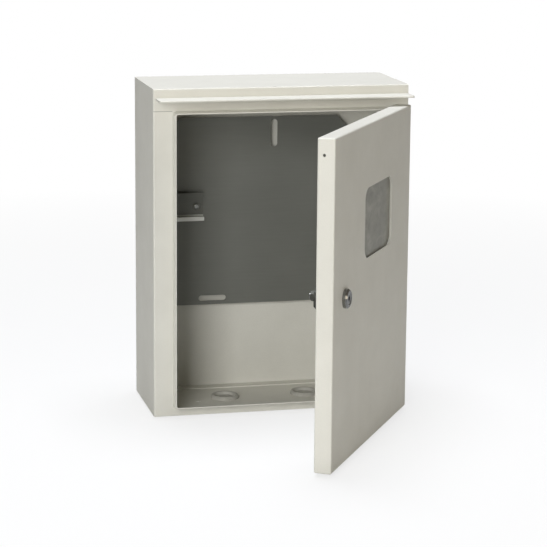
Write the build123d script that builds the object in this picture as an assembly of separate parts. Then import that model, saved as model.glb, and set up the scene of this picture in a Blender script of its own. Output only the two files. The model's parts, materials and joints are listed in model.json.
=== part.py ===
from build123d import *
import math
import os

# Wall-mounted meter enclosure of folded sheet steel, with its door standing open.
# Millimetres. X runs to the right, Y from the front to the wall, Z up.
# The origin is the middle of the floor's underside.

# Body
body_width = 310.0
body_height = 395.0
body_depth = 130.0
sheet = 1.2
bend_radius = 2.0
back_flange_width = 16.0
wall_hole_radius = 4.25
wall_hole_from_side = 30.0
wall_hole_above_bottom = 32.0
wall_hole_below_top = 37.0

# Front opening with its flared rain rim
opening_from_side = 24.8
opening_bottom_z = 10.7
opening_below_top = 28.1
rim_forward = 10.0
rim_slant = 1.9
rim_corner_radius = 3.5
flange_seam_below_root = 0.3

# Hood over the door
fascia_height = 10.8
visor_reach = 27.0
visor_left_inset = 3.0
visor_right_inset = 0.0
visor_corner_cut = 1.5

# Mounting plate and what holds it
plate_from_side = 30.0
plate_bottom_z = 108.0
plate_below_top = 51.4
plate_thickness = 1.5
plate_corner_cut = 25.0
plate_standoff = 5.0
plate_edge_margin = 10.0
plate_stud_above_bottom = 18.0
plate_stud_below_top = 31.6
meter_x = 19.5
meter_slots_less_than_plate = 92.8
meter_slot_length = 35.0
meter_slot_width = 7.0
meter_slot_above_bottom = 8.0
meter_top_slot_below_top = 20.8
meter_top_slot_length = 34.0
meter_top_slot_width = 8.0

# Rail for small switchgear, 35 mm top-hat section
rail_height = 35.0
rail_depth = 7.5
rail_web_height = 27.0
rail_sheet = 1.0
rail_length = 54.0
rail_below_plate_top = 110.0
rail_screw_margin = 9.0
rail_slot_length = 12.0
rail_slot_width = 6.2

# Cable entries in the floor
gland_spacing = 101.0
gland_pair_x = -3.5
gland_y = 2.5
gland_hole_radius = 14.5
gland_radius = 17.3
gland_collar_height = 4.2
gland_lower_lip = 2.0
drain_hole_from_side = 64.7
drain_hole_y = -10.5
drain_hole_radius = 2.5

# Studs, nuts and screws
stud_radius = 3.0
nut_across_flats = 10.0
nut_height = 5.0
washer_radius = 6.0
washer_thickness = 1.2
stud_end = 3.0
screw_radius = 2.0
screw_head_radius = 4.0
screw_head_height = 2.6
thread_clearance = 0.05
earth_stud_from_side = 37.0
earth_stud_y = 20.0

# Door
door_side_reveal = 0.5
door_below_top = 22.8
door_thickness = 20.0
door_bottom_z = 1.2
door_gap = 4.5
door_lip_width = 10.0
door_open_angle = 58.2
edge_hole_below_top = 18.7
edge_hole_behind_skin = 12.0
edge_hole_radius = 1.75
gasket_width = 8.0
gasket_gap = 0.3
gasket_round = 3.0
door_stud_from_edge = 49.5
door_stud_z = 36.0

# Door window
window_width = 110.0
window_height = 81.0
window_corner_radius = 14.0
window_below_door_top = 113.2
pane_overlap = 10.0
pane_thickness = 3.0
window_seal_thickness = 1.5
window_seal_inset = 1.0
clip_width = 12.0
clip_sheet = 1.5
clip_hold = 5.0
clip_reach = 13.0
clip_spacing_z = 56.0
window_stud_radius = 2.0
window_nut_across_flats = 7.0
window_nut_height = 3.2

# Hinges, with a pin through a lug welded to the body and a bracket welded into the door
hinge_from_door_side = 9.8
hinge_behind_skin = 5.9
hinge_from_door_end = 56.0
pin_radius = 2.0
pin_clearance = 0.05
pin_head_radius = 3.4
pin_head_height = 1.5
pin_tail = 3.0
lug_thickness = 3.0
lug_nose_radius = 4.3
lug_root_inset = 1.4
lug_root_width = 7.5
bracket_sheet = 2.0
bracket_play = 0.5
bracket_rib_offset = 7.0
bracket_depth = 9.0
hinge_slit_height = 6.0

# Cam lock
lock_from_free_edge = 44.0
lock_above_door_middle = 3.3
lock_head_radius = 11.0
lock_head_height = 5.4
lock_head_chamfer = 1.8
barrel_radius = 9.0
barrel_flats = 16.0
barrel_length = 31.0
barrel_hole_clearance = 0.15
lock_nut_across_flats = 22.0
lock_nut_height = 5.0
plug_radius = 6.0
plug_clearance = 0.05
plug_recess = 0.6
key_slot_width = 1.8
key_slot_length = 8.0
key_slot_depth = 14.0
plug_square = 7.0
cam_gap = 0.3
cam_thickness = 2.5
cam_length = 28.0
cam_hub_radius = 8.0
cam_tip_radius = 6.0
cam_crank_start = 10.5
cam_crank_end = 15.0
cam_behind_flange = 1.5

# Places that follow from the sizes above
front_y = -body_depth / 2
back_y = body_depth / 2
flange_back_y = front_y + sheet
back_inner_y = back_y - sheet
rim_tip_y = front_y - rim_forward
rim_angle = math.degrees(math.atan2(rim_slant, rim_forward))
wall_hole_x = body_width / 2 - wall_hole_from_side
wall_hole_heights = (wall_hole_above_bottom, body_height - wall_hole_below_top)
opening_width = body_width - 2 * opening_from_side
opening_top_z = body_height - opening_below_top
opening_mid_z = (opening_bottom_z + opening_top_z) / 2
opening_height = opening_top_z - opening_bottom_z
root_x = opening_width / 2 + rim_slant
root_bottom_z = opening_bottom_z - rim_slant
root_top_z = opening_top_z + rim_slant
seam_z = root_top_z - flange_seam_below_root
visor_top_z = body_height - fascia_height
visor_thickness = 2 * sheet
plate_back_y = back_inner_y - plate_standoff
plate_front_y = plate_back_y - plate_thickness
plate_width = body_width - 2 * plate_from_side
plate_top_z = body_height - plate_below_top
meter_slot_spacing = plate_width - meter_slots_less_than_plate
meter_slot_z = plate_bottom_z + meter_slot_above_bottom
meter_top_slot_z = plate_top_z - meter_top_slot_below_top
rail_z = plate_top_z - rail_below_plate_top
rail_left_x = -plate_width / 2
rail_right_x = rail_left_x + rail_length
drain_hole_x = drain_hole_from_side - body_width / 2
earth_stud_x = body_width / 2 - earth_stud_from_side
door_width = body_width - 2 * door_side_reveal
door_top_z = body_height - door_below_top
door_mid_z = (door_bottom_z + door_top_z) / 2
door_stud_x = door_width / 2 - door_stud_from_edge
window_z = door_top_z - window_below_door_top
lock_z = door_mid_z + lock_above_door_middle
door_back_y = front_y - door_gap
skin_y = door_back_y - door_thickness
skin_inner_y = skin_y + sheet
hinge_x = door_width / 2 - hinge_from_door_side
hinge_y = skin_y + hinge_behind_skin
hinge_levels = {"lower": door_bottom_z + hinge_from_door_end, "upper": door_top_z - hinge_from_door_end}
lock_x = -door_width / 2 + lock_from_free_edge
pane_front_y = skin_inner_y + window_seal_thickness
pane_back_y = pane_front_y + pane_thickness


def block(low, high):
    """Box between two corners."""
    size = [b - a for a, b in zip(low, high)]
    middle = [(a + b) / 2 for a, b in zip(low, high)]
    return Pos(*middle) * Box(*size)


def facing(x, y, z):
    """Plane seen from the front: its x is X, its y is Z and its normal points out of the opening."""
    return Plane(origin=(x, y, z), x_dir=(1, 0, 0), z_dir=(0, -1, 0))


def pressed(outline, x, z, y_from, y_to):
    """Solid of an outline drawn as seen from the front, between two depths."""
    return extrude(facing(x, y_to, z) * outline, amount=y_to - y_from)


def turned(points):
    """Solid turned about Z from a section of radius and height."""
    return revolve(Plane.XZ * Polygon(*points, align=None), axis=Axis.Z)


def hexagon_nut(across_flats, height, bore_radius):
    """Nut with its corners chamfered at both ends, standing on its plane, flats towards X."""
    flat = across_flats / 2
    corner = flat / math.cos(math.radians(30))
    slope = (corner - flat) * math.tan(math.radians(30))
    outline = Rot(0, 0, 30) * RegularPolygon(flat, 6, major_radius=False)
    nut = extrude(outline - Circle(bore_radius), amount=height)
    points = [(0, 0), (flat, 0), (corner, slope), (corner, height - slope), (flat, height), (0, height)]
    return nut & turned(points)


def opened(part):
    """Turns a piece drawn on the closed door to where the open door holds it."""
    return part.rotate(Axis((hinge_x, hinge_y, 0), (0, 0, 1)), door_open_angle)


# Body shell

def rim_block(shrink):
    """Tapering block that fills the rain rim, drawn smaller all round by shrink."""
    grow = rim_slant * (1 + sheet / rim_forward) - shrink
    corner = rim_corner_radius + grow
    outline = RectangleRounded(opening_width + 2 * grow, opening_height + 2 * grow, corner)
    start = facing(0, flange_back_y, opening_mid_z)
    return extrude(start * outline, amount=rim_forward + sheet, taper=rim_angle)


def shell_with_rim():
    """Body tube, closed at the front by the flange and its rim."""
    outline = RectangleRounded(body_width, body_depth, bend_radius)
    hollow = RectangleRounded(body_width - 2 * sheet, body_depth - 2 * sheet, bend_radius - sheet)
    tube = extrude(outline - hollow, amount=body_height - sheet)
    rim_shrink = sheet / math.cos(math.radians(rim_angle))
    return tube + rim_block(0) - rim_block(rim_shrink)


def front_zone(points, y_to):
    """Prism behind and in front of the flange, from corners of X and Z."""
    return pressed(Polygon(*points, align=None), 0, 0, rim_tip_y - visor_reach, y_to)


def hood_zone():
    """What of the front belongs to the hood: above the seam, with a mitre at each rim corner."""
    tip_x = opening_width / 2
    slope = (seam_z - opening_top_z) / rim_slant
    inside_x = tip_x - rim_slant
    inside_z = opening_top_z - slope * rim_slant
    side = body_width / 2 + 1
    points = [(-side, seam_z), (-root_x, seam_z), (-inside_x, inside_z)]
    points += [(inside_x, inside_z), (root_x, seam_z), (side, seam_z)]
    points += [(side, body_height + 1), (-side, body_height + 1)]
    return front_zone(points, front_y + bend_radius)


def floor_zone():
    """What of the front belongs to the floor: between the side flanges, mitred to the rim."""
    inside_x = opening_width / 2 - rim_slant
    inside_z = opening_bottom_z + rim_slant
    points = [(-root_x, -1), (root_x, -1), (root_x, root_bottom_z)]
    points += [(inside_x, inside_z), (-inside_x, inside_z), (-root_x, root_bottom_z)]
    return front_zone(points, flange_back_y)


def body_wrap():
    """Back, sides and side flanges folded from one sheet, with a flange at each end of the back."""
    wrap = shell_with_rim() - hood_zone() - floor_zone()
    flange_x = body_width / 2 - sheet - bend_radius
    for low_z in (sheet, body_height - 2 * sheet):
        low = (-flange_x, back_inner_y - back_flange_width, low_z)
        wrap += block(low, (flange_x, back_inner_y + sheet / 2, low_z + sheet))
    for x in (-wall_hole_x, wall_hole_x):
        for z in wall_hole_heights:
            wrap -= pressed(Circle(wall_hole_radius), x, z, back_inner_y - 1, back_y + 1)
    return wrap


def hood():
    """Top, fascia, folded visor and front band, all one sheet."""
    visor_y = front_y - visor_reach
    visor_bottom_z = visor_top_z - visor_thickness
    corners = [(back_y, body_height), (front_y, body_height), (front_y, visor_top_z)]
    corners += [(visor_y, visor_top_z), (visor_y, visor_bottom_z), (front_y, visor_bottom_z)]
    corners += [(front_y, seam_z), (flange_back_y, seam_z)]
    corners += [(flange_back_y, body_height - sheet), (back_y, body_height - sheet)]
    section = Polygon(*corners, align=None)
    edge = section.vertices().filter_by_position(Axis.X, front_y, front_y).sort_by(Axis.Y)[-1]
    section = fillet(edge, bend_radius)
    nose = section.vertices().filter_by_position(Axis.X, visor_y, visor_y)
    section = fillet(nose, visor_thickness / 2 - 0.1)
    folded = extrude(Plane.YZ * section, amount=body_width / 2, both=True)

    plan = RectangleRounded(body_width, body_depth, bend_radius)
    left_x = visor_left_inset - body_width / 2
    right_x = body_width / 2 - visor_right_inset
    cut_y = visor_y + visor_corner_cut
    visor = [(left_x, front_y + bend_radius), (left_x, cut_y), (left_x + visor_corner_cut, visor_y)]
    visor += [(right_x - visor_corner_cut, visor_y), (right_x, cut_y), (right_x, front_y + bend_radius)]
    plan += Polygon(*visor, align=None)
    folded &= extrude(plan, amount=body_height)
    rim_shrink = sheet / math.cos(math.radians(rim_angle))
    return folded + (shell_with_rim() & hood_zone()) - rim_block(rim_shrink)


def gland_places():
    return {"left": gland_pair_x - gland_spacing / 2, "right": gland_pair_x + gland_spacing / 2}


def floor_panel():
    """Floor with its front flange and rim, cut for the cable entries and the drain."""
    outline = RectangleRounded(body_width - 2 * sheet, body_depth - 2 * sheet, bend_radius - sheet)
    for x in gland_places().values():
        outline -= Pos(x, gland_y) * Circle(gland_hole_radius)
    outline -= Pos(drain_hole_x, drain_hole_y) * Circle(drain_hole_radius)
    return extrude(outline, amount=sheet) + (shell_with_rim() & floor_zone())


def gland(x):
    """Rubber grommet with a closed membrane, its groove round the edge of the floor's hole."""
    groove = gland_hole_radius - 0.1
    top = sheet + gland_collar_height
    points = [(0, 0.8), (11.2, 0.8), (12.4, -gland_lower_lip), (15.4, -gland_lower_lip)]
    points += [(gland_radius - 0.9, 0), (groove, 0), (groove, sheet), (gland_radius, sheet)]
    points += [(gland_radius, top - 1.8), (gland_radius - 1.6, top), (14.0, top)]
    points += [(12.8, top - 0.8), (11.6, 1.9), (0, 1.9)]
    return Pos(x, gland_y, 0) * turned(points)


# Mounting plate

def plate_stud_places():
    x = plate_width / 2 - plate_edge_margin
    heights = (plate_bottom_z + plate_stud_above_bottom, plate_top_z - plate_stud_below_top)
    return [(sx * x, z) for sx in (-1, 1) for z in heights]


def rail_screw_places():
    return [(x, rail_z) for x in (rail_left_x + rail_screw_margin, rail_right_x - rail_screw_margin)]


def mounting_plate():
    """Flat plate with both top corners cut off and the meter's three slots."""
    half = plate_width / 2
    top = plate_top_z
    cut = plate_corner_cut
    corners = [(-half, plate_bottom_z), (half, plate_bottom_z), (half, top - cut)]
    corners += [(half - cut, top), (-half + cut, top), (-half, top - cut)]
    outline = Polygon(*corners, align=None)
    for side in (-1, 1):
        slot = SlotOverall(meter_slot_length, meter_slot_width)
        outline -= Pos(meter_x + side * meter_slot_spacing / 2, meter_slot_z) * slot
    top_slot = Rot(0, 0, 90) * SlotOverall(meter_top_slot_length, meter_top_slot_width)
    outline -= Pos(meter_x, meter_top_slot_z) * top_slot
    for x, z in plate_stud_places():
        outline -= Pos(x, z) * Circle(stud_radius + thread_clearance)
    for x, z in rail_screw_places():
        outline -= Pos(x, z) * Circle(screw_radius + thread_clearance)
    return pressed(outline, 0, 0, plate_front_y, plate_back_y)


def plate_studs():
    end_y = plate_front_y - washer_thickness - nut_height - stud_end
    return [pressed(Circle(stud_radius), x, z, end_y, back_inner_y) for x, z in plate_stud_places()]


def plate_spacers():
    ring = Circle(washer_radius) - Circle(stud_radius + thread_clearance)
    return [pressed(ring, x, z, plate_back_y, back_inner_y) for x, z in plate_stud_places()]


def plate_nuts():
    """Washer and nut on each stud, as one flange nut."""
    bore = stud_radius + thread_clearance
    flange = extrude(Circle(washer_radius) - Circle(bore), amount=washer_thickness)
    nut = flange + Pos(0, 0, washer_thickness) * hexagon_nut(nut_across_flats, nut_height, bore)
    return [facing(x, plate_front_y, z).location * nut for x, z in plate_stud_places()]


def din_rail():
    """Top-hat rail, its web against the plate and its two lips standing forward."""
    half_web = rail_web_height / 2
    half = rail_height / 2
    web_y = plate_front_y - rail_sheet
    lip_y = plate_front_y - rail_depth
    upper = [(plate_front_y, half_web), (lip_y + rail_sheet, half_web), (lip_y + rail_sheet, half)]
    upper += [(lip_y, half), (lip_y, half_web - rail_sheet), (web_y, half_web - rail_sheet)]
    lower = [(y, -z) for y, z in reversed(upper)]
    section = Plane.YZ.offset(rail_left_x) * Pos(0, rail_z) * Polygon(*upper, *lower, align=None)
    rail = extrude(section, amount=rail_length)
    for x, z in rail_screw_places():
        slot = SlotOverall(rail_slot_length, rail_slot_width)
        rail -= pressed(slot, x, z, web_y - 1, plate_front_y + 1)
    return rail


def rail_screws():
    """Pan-head screws through the rail's slots into the plate."""
    tail = plate_thickness + plate_standoff / 2
    head = screw_head_height
    points = [(0, -tail), (screw_radius, -tail), (screw_radius, rail_sheet)]
    points += [(screw_head_radius, rail_sheet), (screw_head_radius, rail_sheet + head / 2)]
    points += [(screw_head_radius * 0.6, rail_sheet + head), (0, rail_sheet + head)]
    cross = Rectangle(0.9, 4.4) + Rectangle(4.4, 0.9)
    screw = turned(points) - Pos(0, 0, rail_sheet + head - 1.3) * extrude(cross, amount=2)
    return [facing(x, plate_front_y, z).location * screw for x, z in rail_screw_places()]


# Earthing studs

def earth_stud():
    length = 2 * washer_thickness + nut_height + 3 * stud_end
    return extrude(Circle(stud_radius), amount=length)


def earth_nut():
    """Washer with its nut, face to face with the sheet that carries the stud."""
    bore = stud_radius + thread_clearance
    washer = extrude(Circle(washer_radius) - Circle(bore), amount=washer_thickness)
    return washer + Pos(0, 0, washer_thickness) * hexagon_nut(nut_across_flats, nut_height, bore)


# Hinges

def hinge_lug(level):
    """Flat lug welded to the side flange, leaning out to the pin."""
    root_from_x = root_x + lug_root_inset - hinge_x
    root_to_x = root_from_x + lug_root_width
    root_y = front_y - hinge_y
    nose = Circle(lug_nose_radius).edge()
    root = Line((root_from_x, root_y), (root_to_x, root_y))
    outline = make_hull([nose, root.edge()]) - Circle(pin_radius + pin_clearance)
    return Pos(hinge_x, hinge_y, level - lug_thickness / 2) * extrude(outline, amount=lug_thickness)


def hinge_bracket(level):
    """Two ears joined by a rib, welded inside the door's corner round the lug."""
    ear_x = hinge_from_door_side - sheet
    left_x = -bracket_rib_offset - bracket_sheet
    low_y = sheet - hinge_behind_skin
    inner_z = lug_thickness / 2 + bracket_play
    outer_z = inner_z + bracket_sheet
    low = (left_x, low_y, -outer_z)
    bracket = block(low, (ear_x, low_y + bracket_depth, outer_z))
    gap_low = (-bracket_rib_offset, low_y - 1, -inner_z)
    bracket -= block(gap_low, (ear_x + 1, low_y + bracket_depth + 1, inner_z))
    in_bend = bracket.edges().filter_by_position(Axis.X, ear_x, ear_x).filter_by_position(Axis.Y, low_y, low_y)
    bracket = chamfer(in_bend, bend_radius - sheet + 0.2)
    bracket -= Pos(0, 0, -outer_z) * Cylinder(pin_radius + pin_clearance, 6 * outer_z)
    return Pos(hinge_x, hinge_y, level) * bracket


def hinge_pin(level):
    """Headed pin dropped in from above, resting on the upper ear."""
    ear_z = lug_thickness / 2 + bracket_play + bracket_sheet
    top = ear_z + pin_head_height
    points = [(0, -ear_z - pin_tail), (pin_radius - 0.6, -ear_z - pin_tail)]
    points += [(pin_radius, -ear_z - pin_tail + 0.8), (pin_radius, ear_z), (pin_head_radius, ear_z)]
    points += [(pin_head_radius, top - 0.5), (pin_head_radius - 0.8, top), (0, top)]
    return Pos(hinge_x, hinge_y, level) * turned(points)


# Door, drawn closed

def barrel_outline(clearance):
    flats = barrel_flats + 2 * clearance
    circle = Circle(barrel_radius + clearance)
    return circle & Rectangle(3 * barrel_radius, flats)


def door_panel():
    """Pan folded from one sheet, with a return lip down each side; the top and bottom stay plain to clear the rim."""
    half = door_width / 2
    pan = block((-half, skin_y, door_bottom_z), (half, door_back_y, door_top_z))
    pan = fillet(pan.edges(), bend_radius)
    inner = half - sheet
    cavity = block((-inner, skin_inner_y, door_bottom_z + sheet), (inner, door_back_y - sheet, door_top_z - sheet))
    pan -= fillet(cavity.edges(), bend_radius - sheet)
    lip_x = half - door_lip_width
    low_z = door_bottom_z + sheet
    high_z = door_top_z - sheet
    pan -= block((-lip_x, door_back_y - 2 * sheet, low_z), (lip_x, door_back_y + 1, high_z))
    window = RectangleRounded(window_width, window_height, window_corner_radius)
    pan -= pressed(window, meter_x, window_z, skin_y - 1, skin_inner_y + 1)
    pan -= pressed(barrel_outline(barrel_hole_clearance), lock_x, lock_z, skin_y - 1, skin_inner_y + 1)
    hole_place = (-half, skin_y + edge_hole_behind_skin, door_top_z - edge_hole_below_top)
    pan -= Pos(*hole_place) * Rot(0, 90, 0) * Cylinder(edge_hole_radius, 4 * sheet)
    for level in hinge_levels.values():
        low = (lip_x - 1, skin_inner_y, level - hinge_slit_height / 2)
        pan -= block(low, (half + 1, door_back_y + 1, level + hinge_slit_height / 2))
    return pan


def door_gasket():
    """Foam seal in one loop, opposite the edge of the rain rim."""
    tip_inset = sheet / 2
    centre_width = opening_width - 2 * tip_inset
    centre_height = opening_height - 2 * tip_inset
    corner = rim_corner_radius + gasket_width / 2
    outer = RectangleRounded(centre_width + gasket_width, centre_height + gasket_width, corner)
    inner = RectangleRounded(centre_width - gasket_width, centre_height - gasket_width, 2.0)
    top_y = rim_tip_y - gasket_gap
    loop = pressed(outer - inner, 0, opening_mid_z, skin_inner_y, top_y)
    rounded = loop.faces().sort_by(Axis.Y)[-1].edges()
    return fillet(rounded, gasket_round)


def window_seal():
    outer = RectangleRounded(window_width + 2 * pane_overlap, window_height + 2 * pane_overlap, window_corner_radius)
    inner_width = window_width + 2 * window_seal_inset
    inner_height = window_height + 2 * window_seal_inset
    inner = RectangleRounded(inner_width, inner_height, window_corner_radius + window_seal_inset)
    return pressed(outer - inner, meter_x, window_z, skin_inner_y, pane_front_y)


def window_pane():
    outline = RectangleRounded(window_width + 2 * pane_overlap, window_height + 2 * pane_overlap, window_corner_radius)
    return pressed(outline, meter_x, window_z, pane_front_y, pane_back_y)


def clip_places():
    """Side of the window, X of the clip's stud and its height."""
    reach = window_width / 2 + pane_overlap + clip_reach / 2
    return [(s, meter_x + s * reach, window_z + t * clip_spacing_z / 2) for s in (-1, 1) for t in (-1, 1)]


def window_clips():
    """Bent clips that press the pane against its seal."""
    clips = []
    for side, x, z in clip_places():
        pane_x = x - side * (clip_reach / 2 + clip_hold)
        foot_x = x + side * clip_reach / 2
        wall_x = foot_x - side * clip_sheet
        low_z = z - clip_width / 2
        high_z = z + clip_width / 2
        arm = block((min(pane_x, foot_x), pane_back_y, low_z), (max(pane_x, foot_x), pane_back_y + clip_sheet, high_z))
        leg = block((min(wall_x, foot_x), skin_inner_y, low_z), (max(wall_x, foot_x), pane_back_y + clip_sheet, high_z))
        hole = pressed(Circle(window_stud_radius + thread_clearance), x, z, pane_back_y - 1, pane_back_y + 3)
        clips.append(arm + leg - hole)
    return clips


def window_studs():
    end_y = pane_back_y + clip_sheet + window_nut_height + stud_end / 2
    return [pressed(Circle(window_stud_radius), x, z, skin_inner_y, end_y) for _, x, z in clip_places()]


def window_nuts():
    nut = hexagon_nut(window_nut_across_flats, window_nut_height, window_stud_radius + thread_clearance)
    end_y = pane_back_y + clip_sheet + window_nut_height
    return [facing(x, end_y, z).location * nut for _, x, z in clip_places()]


# Cam lock, turned about its own axis with the outside of the skin at height 0

def at_lock(part):
    return facing(lock_x, skin_y, lock_z).location * part


def lock_barrel():
    bore = plug_radius + plug_clearance
    edge = lock_head_radius - lock_head_chamfer
    points = [(bore, -barrel_length), (barrel_radius - 0.6, -barrel_length)]
    points += [(barrel_radius, 0.6 - barrel_length), (barrel_radius, 0), (lock_head_radius, 0)]
    points += [(lock_head_radius, lock_head_height - lock_head_chamfer), (edge, lock_head_height)]
    points += [(bore + 1.2, lock_head_height), (bore, lock_head_height - plug_recess)]
    shank_zone = extrude(barrel_outline(0), amount=-barrel_length)
    head_zone = extrude(Circle(lock_head_radius), amount=lock_head_height)
    return at_lock(turned(points) & (shank_zone + head_zone))


def lock_nut():
    nut = hexagon_nut(lock_nut_across_flats, lock_nut_height, barrel_radius + thread_clearance)
    return at_lock(Pos(0, 0, -sheet - lock_nut_height) * nut)


def lock_plug():
    """Key plug with its slot, and the square and threaded tail that carry the cam."""
    face_z = lock_head_height - plug_recess
    square_end = -barrel_length - cam_gap - cam_thickness
    plug = Pos(0, 0, -barrel_length) * extrude(Circle(plug_radius), amount=barrel_length + face_z)
    plug += Pos(0, 0, square_end) * extrude(Rectangle(plug_square, plug_square), amount=cam_gap + cam_thickness)
    thread = nut_height + stud_end / 2
    plug += Pos(0, 0, square_end - thread) * extrude(Circle(stud_radius), amount=thread)
    slot = Rectangle(key_slot_width, key_slot_length) + Circle(1.5 * key_slot_width)
    plug -= Pos(0, 0, face_z - key_slot_depth) * extrude(slot, amount=key_slot_depth + 1)
    return at_lock(plug)


def lock_cam():
    """Cranked cam, hanging down when the lock is open, its tip close behind the body's flange."""
    hub_z = -barrel_length - cam_gap
    tip_z = skin_y - flange_back_y - cam_behind_flange
    beyond = cam_length + 1
    near = [(cam_hub_radius + 1, hub_z), (-cam_crank_start, hub_z), (-cam_crank_end, tip_z), (-beyond, tip_z)]
    far = [(y, z - cam_thickness) for y, z in reversed(near)]
    bent = extrude(Plane.YZ * Polygon(*near, *far, align=None), amount=cam_hub_radius, both=True)
    tip = Pos(0, cam_tip_radius - cam_length) * Circle(cam_tip_radius)
    outline = make_hull([Circle(cam_hub_radius).edge(), tip.edge()])
    outline -= Rectangle(plug_square + 2 * thread_clearance, plug_square + 2 * thread_clearance)
    return at_lock(bent & Pos(0, 0, -2 * barrel_length) * extrude(outline, amount=2 * barrel_length))


def cam_nut():
    nut = hexagon_nut(nut_across_flats, nut_height, stud_radius + thread_clearance)
    return at_lock(Pos(0, 0, -barrel_length - cam_gap - cam_thickness - nut_height) * nut)


def build():
    nodes = {
        "body_wrap": body_wrap(),
        "hood": hood(),
        "floor_panel": floor_panel(),
        "mounting_plate": mounting_plate(),
        "plate_studs": plate_studs(),
        "plate_spacers": plate_spacers(),
        "plate_nuts": plate_nuts(),
        "din_rail": din_rail(),
        "rail_screws": rail_screws(),
        "earth_stud": Pos(earth_stud_x, earth_stud_y, sheet) * earth_stud(),
        "earth_nut": Pos(earth_stud_x, earth_stud_y, sheet) * earth_nut(),
    }
    for side, x in gland_places().items():
        nodes[f"gland_{side}"] = gland(x)
    for name, level in hinge_levels.items():
        nodes[f"hinge_lug_{name}"] = hinge_lug(level)

    door_earth = Plane(origin=(door_stud_x, skin_inner_y, door_stud_z), x_dir=(1, 0, 0), z_dir=(0, 1, 0))
    door_nodes = {
        "door_panel": door_panel(),
        "door_gasket": door_gasket(),
        "window_seal": window_seal(),
        "window_pane": window_pane(),
        "window_clips": window_clips(),
        "window_studs": window_studs(),
        "window_nuts": window_nuts(),
        "lock_barrel": lock_barrel(),
        "lock_nut": lock_nut(),
        "lock_plug": lock_plug(),
        "lock_cam": lock_cam(),
        "cam_nut": cam_nut(),
        "door_earth_stud": door_earth.location * earth_stud(),
        "door_earth_nut": door_earth.location * earth_nut(),
    }
    for name, level in hinge_levels.items():
        door_nodes[f"hinge_bracket_{name}"] = hinge_bracket(level)
        door_nodes[f"hinge_pin_{name}"] = hinge_pin(level)
    for name, part in door_nodes.items():
        pieces = part if isinstance(part, list) else [part]
        nodes[name] = [opened(piece) for piece in pieces]
    return nodes


os.makedirs("parts", exist_ok=True)
for name, part in build().items():
    pieces = part if isinstance(part, list) else [part]
    solids = [solid for piece in pieces for solid in piece.solids()]
    shape = solids[0] if len(solids) == 1 else Compound(children=solids)
    export_step(shape, f"parts/{name}.step")
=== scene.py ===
import json
import math

import bmesh
import bpy
from mathutils import Matrix, Vector


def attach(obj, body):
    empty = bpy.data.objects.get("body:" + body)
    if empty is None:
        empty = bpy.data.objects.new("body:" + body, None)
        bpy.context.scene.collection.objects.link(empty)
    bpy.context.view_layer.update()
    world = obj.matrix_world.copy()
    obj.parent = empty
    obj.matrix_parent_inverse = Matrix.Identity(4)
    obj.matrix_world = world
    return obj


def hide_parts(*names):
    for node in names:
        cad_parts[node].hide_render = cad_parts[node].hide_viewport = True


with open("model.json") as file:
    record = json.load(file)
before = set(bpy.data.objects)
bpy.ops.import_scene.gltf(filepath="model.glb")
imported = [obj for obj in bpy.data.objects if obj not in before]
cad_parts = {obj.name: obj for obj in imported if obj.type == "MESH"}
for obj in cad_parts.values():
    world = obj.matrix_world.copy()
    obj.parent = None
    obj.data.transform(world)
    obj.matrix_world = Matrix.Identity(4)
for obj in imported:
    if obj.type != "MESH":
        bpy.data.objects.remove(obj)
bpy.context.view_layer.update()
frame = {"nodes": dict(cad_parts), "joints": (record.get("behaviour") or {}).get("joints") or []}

# Body, hood, floor and hinge lugs: mild steel sheet, 1.2 mm thick and 3 mm for the lugs, folded, welded
# along the seams and powder coated light grey after welding. The hood and the floor are welded between
# the folds of the body, and the lugs edge-on to its side flange.

paint_pieces = ["body_wrap", "hood", "floor_panel", "hinge_lug_lower", "hinge_lug_upper"]
coat_colour = "#D6D4CA"
coat_worn = "#D0CEC4"
peel_share = 0.25
seam_shade = "#94928A"
hood_seam_height = 0.3685
seam_half_width = 0.00035
side_rim_root = 0.1321
front_face_y = -0.0642


def linear(hex_colour):
    """Linear colour of an sRGB hex value."""
    channels = [int(hex_colour[i:i + 2], 16) / 255 for i in (1, 3, 5)]
    return [c / 12.92 if c <= 0.04045 else ((c + 0.055) / 1.055) ** 2.4 for c in channels] + [1.0]


def add(tree, kind, inputs=None, **settings):
    """Adds one node, with its settings, and its inputs as values or as sockets to link."""
    node = tree.nodes.new(kind)
    for name, value in settings.items():
        setattr(node, name, value)
    for key, value in (inputs or {}).items():
        if isinstance(value, bpy.types.NodeSocket):
            tree.links.new(value, node.inputs[key])
        else:
            node.inputs[key].default_value = value
    return node


def new_material(name):
    """Empty material, with its node tree and its object coordinates."""
    material = bpy.data.materials.new(name)
    material.use_nodes = True
    tree = material.node_tree
    tree.nodes.clear()
    return material, tree, add(tree, "ShaderNodeTexCoord").outputs["Object"]


def noise(tree, place, scale, detail, **more):
    """Value of a noise pattern with about this many features to a metre."""
    inputs = {"Vector": place, "Scale": scale, "Detail": detail, **more}
    return add(tree, "ShaderNodeTexNoise", inputs).outputs["Fac"]


def spread(tree, value, low, high, start=0.0, end=1.0):
    """Stretches what lies between start and end to lie between low and high."""
    ends = {"Value": value, "From Min": start, "From Max": end, "To Min": low, "To Max": high}
    return add(tree, "ShaderNodeMapRange", ends).outputs[0]


def blend(tree, share, first, second):
    """Colour between two colours, by a share from 0 to 1."""
    mix = add(tree, "ShaderNodeMix", {0: share, 6: first, 7: second}, data_type="RGBA")
    return mix.outputs[2]


def calculate(tree, operation, *values):
    """Result of one math node."""
    return add(tree, "ShaderNodeMath", dict(enumerate(values)), operation=operation).outputs[0]


def relief(tree, height, strength, depth):
    """Normal of a surface with this relief, whose depth is in metres."""
    bump = add(tree, "ShaderNodeBump", {"Height": height, "Strength": strength, "Distance": depth})
    return bump.outputs[0]


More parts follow.
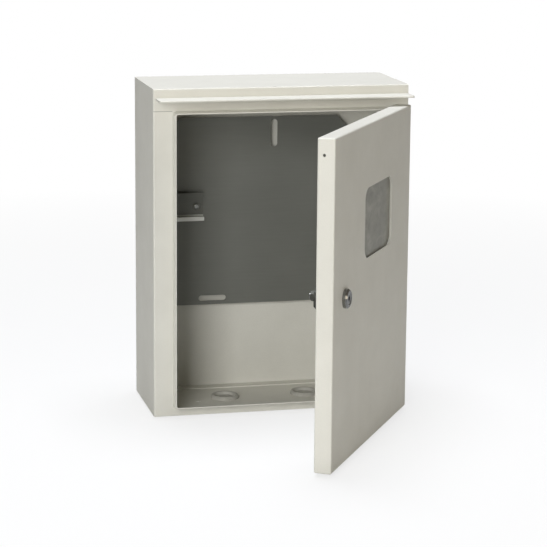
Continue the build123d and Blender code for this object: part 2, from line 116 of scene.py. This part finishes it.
def surface(tree, colour, roughness, normal, constants):
    """Principled surface with its constants, linked to the material's output."""
    inputs = {"Base Color": colour, "Roughness": roughness, "Normal": normal, **constants}
    shader = add(tree, "ShaderNodeBsdfPrincipled", inputs)
    add(tree, "ShaderNodeOutputMaterial", {"Surface": shader.outputs[0]})


def coat_cad(names, material):
    """Gives carried-over CAD nodes their material."""
    for name in names:
        for slot in frame["nodes"][name].material_slots:
            slot.material = material


def powder_coat(name, base, worn, seam):
    """Polyester powder coat, sprayed and baked: an orange-peel skin with a dull gloss."""
    material, tree, place = new_material(name)
    # Orange peel is about 1.2 mm across on sheet; drawn at 2.2 mm so that it shows.
    peel = noise(tree, place, 1 / 0.0022, detail=2.0, Roughness=0.45)
    grain = noise(tree, place, 1 / 0.0005, detail=1.0)
    # Dust and handling marks lie in soft patches some 60 mm across.
    patches = noise(tree, place, 1 / 0.06, detail=4.0, Roughness=0.6)
    tone = spread(tree, patches, 0.0, 1.0, start=0.3, end=0.7)
    colour = blend(tree, tone, linear(base), linear(worn))
    speck = spread(tree, grain, 0.965, 1.02, start=0.35, end=0.65)
    speckled = add(tree, "ShaderNodeVectorMath", {0: colour, "Scale": speck}, operation="SCALE")
    shown = speckled.outputs[0]
    height = calculate(tree, "MULTIPLY", peel, peel_share)
    if seam:
        axes = add(tree, "ShaderNodeSeparateXYZ", {0: place}).outputs
        # The weld seam under the hood is a groove about 0.5 mm wide, filled with paint; drawn at 0.7 mm.
        groove = calculate(tree, "COMPARE", axes["Z"], hood_seam_height, seam_half_width)
        aside = calculate(tree, "ABSOLUTE", axes["X"])
        beyond = calculate(tree, "GREATER_THAN", aside, side_rim_root)
        in_front = calculate(tree, "LESS_THAN", axes["Y"], front_face_y)
        groove = calculate(tree, "MULTIPLY", groove, beyond)
        groove = calculate(tree, "MULTIPLY", groove, in_front)
        shown = blend(tree, groove, shown, linear(seam_shade))
    normal = relief(tree, height, strength=0.5, depth=0.00012)
    gloss = spread(tree, patches, 0.46, 0.60)
    surface(tree, shown, gloss, normal, {"IOR": 1.5, "Specular IOR Level": 0.28})
    return material


body_coat = powder_coat("grey_powder_coat_body", coat_colour, coat_worn, seam=True)
coat_cad(paint_pieces, body_coat)

# Mounting plate and rail: cold-rolled sheet, zinc coated in the mill before it is cut, so rolling lines
# run across it. The plate stands 5 mm off the back on spacers, and the rail is screwed to it. The rail's
# lower lip carries a painted highlight, and the foot of its web a fainter one, where light catches them.

rail_lip_top = 0.22095
rail_web_foot = 0.2232
web_foot_highlight = 0.6
cloud_share = 0.65


def galvanised(name, dark, light, painted_highlight=None):
    """Electro-galvanised sheet: smooth dull grey, with faint rolling lines along X and a fine grain, and a
    painted highlight low on a rail if its colour is given.
    """
    material, tree, place = new_material(name)
    # Rolling lines are some 50 mm long and under 1 mm apart; drawn 2 mm apart.
    per_metre = (1 / 0.05, 1 / 0.05, 1 / 0.002)
    stretched = add(tree, "ShaderNodeMapping", {"Vector": place, "Scale": per_metre})
    lines = noise(tree, stretched.outputs[0], 1.0, detail=3.0)
    clouds = noise(tree, place, 1 / 0.08, detail=2.0)
    fine = noise(tree, place, 1 / 0.0012, detail=3.0, Roughness=0.7)
    both = add(tree, "ShaderNodeMix", {0: cloud_share, 2: lines, 3: clouds}, data_type="FLOAT")
    tone = spread(tree, both.outputs[0], 0.0, 1.0, start=0.3, end=0.7)
    colour = blend(tree, tone, linear(dark), linear(light))
    if painted_highlight:
        # Painted highlight: full on the rail's lower lip and partial on the foot of its web, where light
        # catches them.
        height = add(tree, "ShaderNodeSeparateXYZ", {0: place}).outputs["Z"]
        foot = calculate(tree, "LESS_THAN", height, rail_web_foot)
        faint_highlight = calculate(tree, "MULTIPLY", foot, web_foot_highlight)
        lip = calculate(tree, "LESS_THAN", height, rail_lip_top)
        highlight_share = calculate(tree, "MAXIMUM", faint_highlight, lip)
        colour = blend(tree, highlight_share, colour, linear(painted_highlight))
    rough = spread(tree, lines, 0.47, 0.56)
    normal = relief(tree, fine, strength=0.6, depth=0.0001)
    surface(tree, colour, rough, normal, {"Metallic": 0.6})
    return material


coat_cad(["mounting_plate"], galvanised("galvanised_mounting_plate", "#757670", "#7E7F79"))
coat_cad(["din_rail"], galvanised("galvanised_rail", "#6E6F69", "#757670", painted_highlight="#E2E3DC"))

# Nuts, spacers, screws, clips and hinge pins: turned, pressed or cold-headed steel, barrel plated with
# bright zinc. The nuts hold the plate, the earth wires, the window's clips and the lock.

plated_pieces = ["plate_nuts", "plate_spacers", "rail_screws", "earth_nut", "door_earth_nut",
                 "window_clips", "window_nuts", "lock_nut", "hinge_pin_lower", "hinge_pin_upper"]


def bright_zinc(name, base, tint):
    """Barrel-plated zinc: silvery with a faint cloudy tint and fine tumbling marks."""
    material, tree, place = new_material(name)
    clouds = noise(tree, place, 1 / 0.003, detail=3.0)
    # Tumbling marks are some 0.1 mm across; drawn at 0.4 mm.
    marks = noise(tree, place, 1 / 0.0004, detail=2.0)
    colour = blend(tree, clouds, linear(base), linear(tint))
    rough = spread(tree, clouds, 0.22, 0.40)
    normal = relief(tree, marks, strength=0.2, depth=0.00003)
    surface(tree, colour, rough, normal, {"Metallic": 1.0})
    return material


plating = bright_zinc("zinc_plated_steel", "#C9CBCC", "#AFB2AE")
coat_cad(plated_pieces, plating)

# Weld studs and earthing studs: plated steel with a rolled metric thread, welded by their foot to the
# sheet. The thread runs the whole length, with the nuts turned down it.

m6 = {"Radius": 0.003, "Pitch": 0.001}
m4 = {"Radius": 0.002, "Pitch": 0.0007}
depth_of_pitch = 0.55
flank_of_depth = 0.62
steps_a_turn = 18
ridge_sides = 4
core_sides = 24
stud_foot_y = 0.0638
plate_stud_x = 0.115
plate_stud_heights = (0.126, 0.312)
plate_stud_length = 0.0157
earth_foot = (0.118, 0.020, 0.0012)
earth_stud_length = 0.0164
swing = frame["joints"][0]
hinge = Vector(swing["pos_m"])
door_opening = Matrix.Rotation(math.radians(-swing["range_deg"][0]), 4, "Z")
to_open_door = Matrix.Translation(hinge) @ door_opening @ Matrix.Translation(-hinge)


def thread_tree():
    """Geometry nodes that stand a threaded stud on each point, along the point's own direction."""
    tree = bpy.data.node_groups.new("threaded_studs", "GeometryNodeTree")
    tree.interface.new_socket("Geometry", in_out="INPUT", socket_type="NodeSocketGeometry")
    for name in ("Radius", "Pitch", "Length"):
        tree.interface.new_socket(name, in_out="INPUT", socket_type="NodeSocketFloat")
    tree.interface.new_socket("Finish", in_out="INPUT", socket_type="NodeSocketMaterial")
    tree.interface.new_socket("Geometry", in_out="OUTPUT", socket_type="NodeSocketGeometry")
    given = add(tree, "NodeGroupInput").outputs
    radius = given["Radius"]
    length = given["Length"]
    depth = calculate(tree, "MULTIPLY", given["Pitch"], depth_of_pitch)
    root = calculate(tree, "SUBTRACT", radius, depth)
    turns = calculate(tree, "DIVIDE", length, given["Pitch"])
    flank = calculate(tree, "MULTIPLY", depth, flank_of_depth)
    crest = calculate(tree, "SUBTRACT", radius, flank)
    winding = {"Resolution": steps_a_turn, "Rotations": turns, "Height": length}
    winding.update({"Start Radius": crest, "End Radius": crest})
    helix = add(tree, "GeometryNodeCurveSpiral", winding).outputs[0]
    outline = {"Resolution": ridge_sides, "Radius": flank}
    ridge = add(tree, "GeometryNodeCurvePrimitiveCircle", outline).outputs[0]
    swept = {"Curve": helix, "Profile Curve": ridge, "Fill Caps": True}
    coil = add(tree, "GeometryNodeCurveToMesh", swept).outputs[0]
    bar = {"Vertices": core_sides, "Radius": root, "Depth": length}
    core = add(tree, "GeometryNodeMeshCylinder", bar).outputs[0]
    lift = add(tree, "ShaderNodeCombineXYZ", {"Z": calculate(tree, "MULTIPLY", length, 0.5)})
    raised = {"Geometry": core, "Translation": lift.outputs[0]}
    core = add(tree, "GeometryNodeTransform", raised).outputs[0]
    stud = add(tree, "GeometryNodeJoinGeometry")
    tree.links.new(coil, stud.inputs[0])
    tree.links.new(core, stud.inputs[0])
    along = add(tree, "GeometryNodeInputNamedAttribute", {"Name": "along"}, data_type="FLOAT_VECTOR")
    turn = add(tree, "FunctionNodeAlignRotationToVector", {"Vector": along.outputs[0]}, axis="Z")
    feet = {"Points": given["Geometry"], "Instance": stud.outputs[0], "Rotation": turn.outputs[0]}
    placed = add(tree, "GeometryNodeInstanceOnPoints", feet).outputs[0]
    real = add(tree, "GeometryNodeRealizeInstances", {0: placed}).outputs[0]
    done = add(tree, "GeometryNodeSetMaterial", {"Geometry": real, "Material": given["Finish"]})
    add(tree, "NodeGroupOutput", {"Geometry": done.outputs[0]})
    return tree


stud_maker = thread_tree()


def make_studs(name, feet, along, thread, length, body, node):
    """Threaded studs of one size as a plain mesh, in place of their CAD node."""
    points = bpy.data.meshes.new(name + "_feet")
    points.from_pydata([tuple(foot) for foot in feet], [], [])
    direction = points.attributes.new("along", "FLOAT_VECTOR", "POINT")
    for item in direction.data:
        item.vector = along
    holder = bpy.data.objects.new(name + "_feet", points)
    bpy.context.scene.collection.objects.link(holder)
    modifier = holder.modifiers.new("studs", "NODES")
    modifier.node_group = stud_maker
    sockets = {s.name: s.identifier for s in stud_maker.interface.items_tree if s.in_out == "INPUT"}
    for key, value in {**thread, "Length": length, "Finish": plating}.items():
        modifier[sockets[key]] = value
    bpy.context.view_layer.update()
    evaluated = holder.evaluated_get(bpy.context.evaluated_depsgraph_get())
    mesh = bpy.data.meshes.new_from_object(evaluated)
    bpy.data.objects.remove(holder)
    mesh.name = name
    piece = bpy.data.objects.new(name, mesh)
    bpy.context.scene.collection.objects.link(piece)
    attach(piece, body)
    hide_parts(node)


plate_feet = [(side * plate_stud_x, stud_foot_y, z) for side in (-1, 1) for z in plate_stud_heights]
make_studs("plate_studs_threaded", plate_feet, (0, -1, 0), m6, plate_stud_length, "cabinet", "plate_studs")
make_studs("earth_stud_threaded", [earth_foot], (0, 0, 1), m6, earth_stud_length, "cabinet", "earth_stud")

skin_inner_y = -0.0883
window_x = 0.0195
window_height = 0.259
clip_reach = 0.0715
clip_half_spacing = 0.028
window_stud_length = 0.0107
door_earth_x = 0.105
door_earth_height = 0.036
inwards = door_opening @ Vector((0, 1, 0))


def on_door_skin(x, z):
    """Point on the inside of the door's skin, given for the shut door, once the door is open."""
    return to_open_door @ Vector((x, skin_inner_y, z))


clip_feet = [on_door_skin(window_x + side * clip_reach, window_height + level * clip_half_spacing)
             for side in (-1, 1) for level in (-1, 1)]
make_studs("window_studs_threaded", clip_feet, inwards, m4, window_stud_length, "door", "window_studs")
make_studs("door_earth_stud_threaded", [on_door_skin(door_earth_x, door_earth_height)], inwards,
           m6, earth_stud_length, "door", "door_earth_stud")

# Cable grommets and the window's seal: soft PVC in a grey close to the paint, and white silicone. Each
# grommet snaps into its hole in the floor and keeps a closed membrane, which is cut for the cable.

grommets = ["gland_left", "gland_right"]


def moulded_rubber(name, dark, bloom):
    """Moulded soft PVC or silicone: dull, with a paler bloom and fine moulding grain."""
    material, tree, place = new_material(name)
    dusting = noise(tree, place, 1 / 0.006, detail=5.0, Roughness=0.65)
    grain = noise(tree, place, 1 / 0.0006, detail=2.0)
    tone = spread(tree, dusting, 0.0, 1.0, start=0.4, end=0.75)
    colour = blend(tree, tone, linear(dark), linear(bloom))
    rough = spread(tree, dusting, 0.55, 0.8)
    normal = relief(tree, grain, strength=0.3, depth=0.00008)
    surface(tree, colour, rough, normal, {"IOR": 1.52})
    return material


coat_cad(grommets, moulded_rubber("moulded_grey_rubber", "#A5A39A", "#B4B2A9"))
coat_cad(["window_seal"], moulded_rubber("white_silicone_seal", "#D2D1C8", "#DCDBD3"))

# Door and hinge brackets: one folded pan of the same coated sheet, with the brackets welded inside its
# corner and coated with it. It hangs on two headed pins.

door_pieces = ["door_panel", "hinge_bracket_lower", "hinge_bracket_upper"]
coat_cad(door_pieces, powder_coat("grey_powder_coat_door", coat_colour, coat_worn, seam=False))

# Door seal: closed-cell foam strip, poured or glued in one loop inside the door, opposite the body's
# rain rim, which presses a line into it when the door is shut.

seal_centre_width = 0.2592
seal_centre_height = 0.3550
seal_mid_height = 0.1888
seal_width = 0.0074
seal_depth = 0.0127
seal_shoulder = 0.62 * seal_depth
seal_corner = 0.0055
corner_signs = ((1, 1), (-1, 1), (-1, -1), (1, -1))
corner_steps = 8
straight_steps = 24
crown_steps = 8


def seal_path():
    """Centre line of the seal as points of X and Z, with its outward direction, once round."""
    points = []
    reach_x = seal_centre_width / 2 - seal_corner
    reach_z = seal_centre_height / 2 - seal_corner
    for quarter, (side, level) in enumerate(corner_signs):
        centre_x = side * reach_x
        centre_z = seal_mid_height + level * reach_z
        for step in range(corner_steps + 1):
            angle = math.radians(90 * quarter + 90 * step / corner_steps)
            out = (math.cos(angle), math.sin(angle))
            points.append((centre_x + seal_corner * out[0], centre_z + seal_corner * out[1], out))
        x, z, out = points[-1]
        next_side, next_level = corner_signs[(quarter + 1) % 4]
        end_x = next_side * reach_x + seal_corner * out[0]
        end_z = seal_mid_height + next_level * reach_z + seal_corner * out[1]
        for step in range(1, straight_steps):
            share = step / straight_steps
            points.append((x + (end_x - x) * share, z + (end_z - z) * share, out))
    return points


def seal_section():
    """Half-round section: across the strip and up from the sheet, from the outer foot to the inner."""
    half = seal_width / 2
    section = [(half, 0.0), (half, seal_shoulder)]
    for step in range(1, crown_steps):
        angle = math.pi * step / crown_steps
        rise = (seal_depth - seal_shoulder) * math.sin(angle)
        section.append((half * math.cos(angle), seal_shoulder + rise))
    return section + [(-half, seal_shoulder), (-half, 0.0)]


def make_seal():
    """Sweeps the section once round the path, on the open door."""
    path = seal_path()
    section = seal_section()
    verts = []
    for x, z, out in path:
        for across, up in section:
            spot = Vector((x + out[0] * across, skin_inner_y + up, z + out[1] * across))
            verts.append(to_open_door @ spot)
    count = len(section)
    faces = []
    for i in range(len(path)):
        j = (i + 1) % len(path)
        for k in range(count):
            n = (k + 1) % count
            faces.append((i * count + k, j * count + k, j * count + n, i * count + n))
    mesh = bpy.data.meshes.new("foam_door_seal")
    mesh.from_pydata(verts, [], faces)
    work = bmesh.new()
    work.from_mesh(mesh)
    bmesh.ops.recalc_face_normals(work, faces=work.faces)
    work.to_mesh(mesh)
    work.free()
    for face in mesh.polygons:
        face.use_smooth = True
    seal = bpy.data.objects.new("foam_door_seal", mesh)
    bpy.context.scene.collection.objects.link(seal)
    return seal


def foam(name, dark, light):
    """Closed-cell foam: charcoal, quite matt, with open pits where cells were cut."""
    material, tree, place = new_material(name)
    # Cells are about 0.3 mm across; drawn at 0.9 mm.
    pits = {"Vector": place, "Scale": 1 / 0.0009, "Randomness": 1.0}
    cells = add(tree, "ShaderNodeTexVoronoi", pits).outputs["Distance"]
    mottling = noise(tree, place, 1 / 0.012, detail=3.0)
    colour = blend(tree, mottling, linear(dark), linear(light))
    rough = spread(tree, cells, 0.8, 0.95)
    normal = relief(tree, cells, strength=0.5, depth=0.0002)
    surface(tree, colour, rough, normal, {"IOR": 1.45})
    return material


door_seal = make_seal()
door_seal.data.materials.append(foam("closed_cell_foam", "#38393A", "#4B4C4D"))
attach(door_seal, "door")
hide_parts("door_gasket")

# Window pane: 3 mm clear plastic sheet, cut to size and pressed against its seal by four clips. It
# still carries its cloudy protective film.


def filmed_plastic(name, tint, cloud, lifted_film):
    """Clear sheet plastic under protective film: glossy, greyish, cloudy where the film has lifted."""
    material, tree, place = new_material(name)
    # The film lies in cloudy patches, some 24 mm wide and 14 mm high.
    per_metre = (1 / 0.024, 1 / 0.024, 1 / 0.014)
    mapped = add(tree, "ShaderNodeMapping", {"Vector": place, "Scale": per_metre})
    patches = mapped.outputs[0]
    clouds = noise(tree, patches, 1.0, detail=5.0, Roughness=0.62)
    fine = noise(tree, place, 1 / 0.002, detail=2.0)
    tone = spread(tree, clouds, 0.0, 1.0, start=0.32, end=0.68)
    colour = blend(tree, tone, linear(tint), linear(cloud))
    # Where it has lifted it shows paler.
    bubbles = noise(tree, patches, 0.7, detail=4.0, Distortion=0.8)
    lifted = spread(tree, bubbles, 0.0, 0.6, start=0.5, end=0.74)
    colour = blend(tree, lifted, colour, linear(lifted_film))
    rough = spread(tree, clouds, 0.12, 0.3)
    normal = relief(tree, fine, strength=0.15, depth=0.0001)
    surface(tree, colour, rough, normal, {"IOR": 1.49, "Transmission Weight": 0.12})
    return material


coat_cad(["window_pane"], filmed_plastic("filmed_acrylic_pane", "#7D7C6F", "#8F8E81", "#B0AFA2"))

# Cam lock: die-cast zinc barrel and plug, chromed and polished. A nut inside clamps the barrel to the
# door, and the plug carries the cam on a square. The cam and its nut are drawn in a dark grey steel finish.


def chrome(name, base, smeared):
    """Bright chrome over a die-casting: mirror-like, with faint wavy polishing."""
    material, tree, place = new_material(name)
    waves = noise(tree, place, 1 / 0.004, detail=2.0)
    smears = noise(tree, place, 1 / 0.0015, detail=3.0)
    colour = blend(tree, smears, linear(base), linear(smeared))
    rough = spread(tree, smears, 0.08, 0.22)
    normal = relief(tree, waves, strength=0.1, depth=0.0001)
    surface(tree, colour, rough, normal, {"Metallic": 1.0})
    return material


coat_cad(["lock_barrel", "lock_plug"], chrome("chromed_die_casting", "#A6A7A6", "#7C7D7C"))
coat_cad(["lock_cam", "cam_nut"], galvanised("dark_grey_cam_steel", "#34352F", "#474842"))

# Floor and light: a plain pale floor just under the grommets' lips, a pale world all round, and four
# soft lamps in place of a photographer's light boxes.

floor_height = -0.0022
floor_reach = 30.0
shadow_reach = 0.3
white_reach = 1.6
white_share_near = 0.72
glossy_loss = 0.6
paper_white = "#FFFFFF"
world_light = 0.04
mirrored_light = 0.22
lamp_target = (0, -0.05, 0.2)
floor_mesh = bpy.data.meshes.new("studio_floor")
corners = [(side * floor_reach, end * floor_reach, floor_height)
           for side, end in ((-1, -1), (1, -1), (1, 1), (-1, 1))]
floor_mesh.from_pydata(corners, [], [(0, 1, 2, 3)])
studio_floor = bpy.data.objects.new("studio_floor", floor_mesh)
bpy.context.scene.collection.objects.link(studio_floor)


def seen_directly(tree):
    """1 for what the camera, a reflection or a see-through material sees, else 0."""
    rays = add(tree, "ShaderNodeLightPath").outputs
    either = calculate(tree, "MAXIMUM", rays["Is Camera Ray"], rays["Is Glossy Ray"])
    return calculate(tree, "MAXIMUM", either, rays["Is Transmission Ray"])


floor_material, tree, place = new_material("white_studio_floor")
clouds = noise(tree, place, 3.0, detail=2.0)
colour = blend(tree, clouds, linear("#ECECEA"), linear("#F0F0EE"))
matt = add(tree, "ShaderNodeBsdfDiffuse", {"Color": colour})
# Reflections see the floor duller than the camera does.
glossy = add(tree, "ShaderNodeLightPath").outputs["Is Glossy Ray"]
dulled = calculate(tree, "MULTIPLY_ADD", glossy, -glossy_loss, 1.0)
glow = add(tree, "ShaderNodeEmission", {"Color": linear(paper_white), "Strength": dulled})
# The floor takes a faint shadow near the box and is plain white further out.
away = add(tree, "ShaderNodeVectorMath", {0: place}, operation="LENGTH").outputs["Value"]
white = spread(tree, away, white_share_near, 1.0, start=shadow_reach, end=white_reach)
share = calculate(tree, "MULTIPLY", seen_directly(tree), white)
shader = add(tree, "ShaderNodeMixShader", {0: share, 1: matt.outputs[0], 2: glow.outputs[0]})
add(tree, "ShaderNodeOutputMaterial", {"Surface": shader.outputs[0]})
floor_mesh.materials.append(floor_material)

world = bpy.data.worlds.new("pale_studio")
bpy.context.scene.world = world
world.use_nodes = True
tree = world.node_tree
tree.nodes.clear()


def background(hex_colour, strength):
    """Even light of one colour from all round."""
    return add(tree, "ShaderNodeBackground", {"Color": linear(hex_colour), "Strength": strength}).outputs[0]


lighting = background(paper_white, world_light)
backdrop = background(paper_white, 1.0)
# Reflections see a room duller and warmer than the backdrop, so that chrome keeps its contrast.
mirrored = background("#FFF4E2", mirrored_light)
glossy = add(tree, "ShaderNodeLightPath").outputs["Is Glossy Ray"]
shown = add(tree, "ShaderNodeMixShader", {0: glossy, 1: backdrop, 2: mirrored}).outputs[0]
either = add(tree, "ShaderNodeMixShader", {0: seen_directly(tree), 1: lighting, 2: shown}).outputs[0]
add(tree, "ShaderNodeOutputWorld", {"Surface": either})


def soft_lamp(name, place, width, height, power, tint=paper_white):
    """Soft box at a place, aimed at the middle of the object."""
    lamp = bpy.data.lights.new(name, "AREA")
    lamp.shape = "RECTANGLE"
    lamp.size = width
    lamp.size_y = height
    lamp.energy = power
    lamp.color = linear(tint)[:3]
    holder = bpy.data.objects.new(name, lamp)
    holder.location = place
    holder.rotation_euler = (Vector(lamp_target) - Vector(place)).to_track_quat("-Z", "Y").to_euler()
    bpy.context.scene.collection.objects.link(holder)


soft_lamp("key_lamp", (-1.3, -2.5, 0.66), width=1.0, height=0.5, power=23)
soft_lamp("upper_lamp", (-1.2, -2.25, 1.35), width=0.9, height=0.7, power=24)
soft_lamp("high_lamp", (0.0, 0.15, 2.2), width=1.0, height=1.0, power=46, tint="#F4F7FF")
soft_lamp("side_lamp", (1.5, -2.3, 0.8), width=1.2, height=1.2, power=9.5, tint="#FFF1DA")

# Camera: a long lens in front of the box, to its left and above it, turned a little right and down, as
# the photograph was taken. The size of the sensor is free, because only its ratio to the lens counts.

camera_place = Vector((-0.58399, -2.50720, 0.69112))
camera_yaw = 0.23116
camera_pitch = -0.20473
camera_roll = 0.00786
camera_focal_pixels = 2134.84
photo_pixels = 547
camera_data = bpy.data.cameras.new("photo_camera")
camera_data.sensor_width = 36.0
camera_data.lens = camera_focal_pixels / photo_pixels * camera_data.sensor_width
camera_data.clip_end = 100
ahead = Vector((math.cos(camera_pitch) * math.sin(camera_yaw),
                math.cos(camera_pitch) * math.cos(camera_yaw),
                math.sin(camera_pitch)))
level_right = Vector((math.cos(camera_yaw), -math.sin(camera_yaw), 0))
level_up = level_right.cross(ahead)
right = math.cos(camera_roll) * level_right + math.sin(camera_roll) * level_up
up = -math.sin(camera_roll) * level_right + math.cos(camera_roll) * level_up
turned = Matrix((right, up, -ahead)).transposed().to_4x4()
camera = bpy.data.objects.new("photo_camera", camera_data)
camera.matrix_world = Matrix.Translation(camera_place) @ turned
bpy.context.scene.collection.objects.link(camera)
bpy.context.scene.camera = camera
bpy.context.scene.view_settings.view_transform = "Standard"
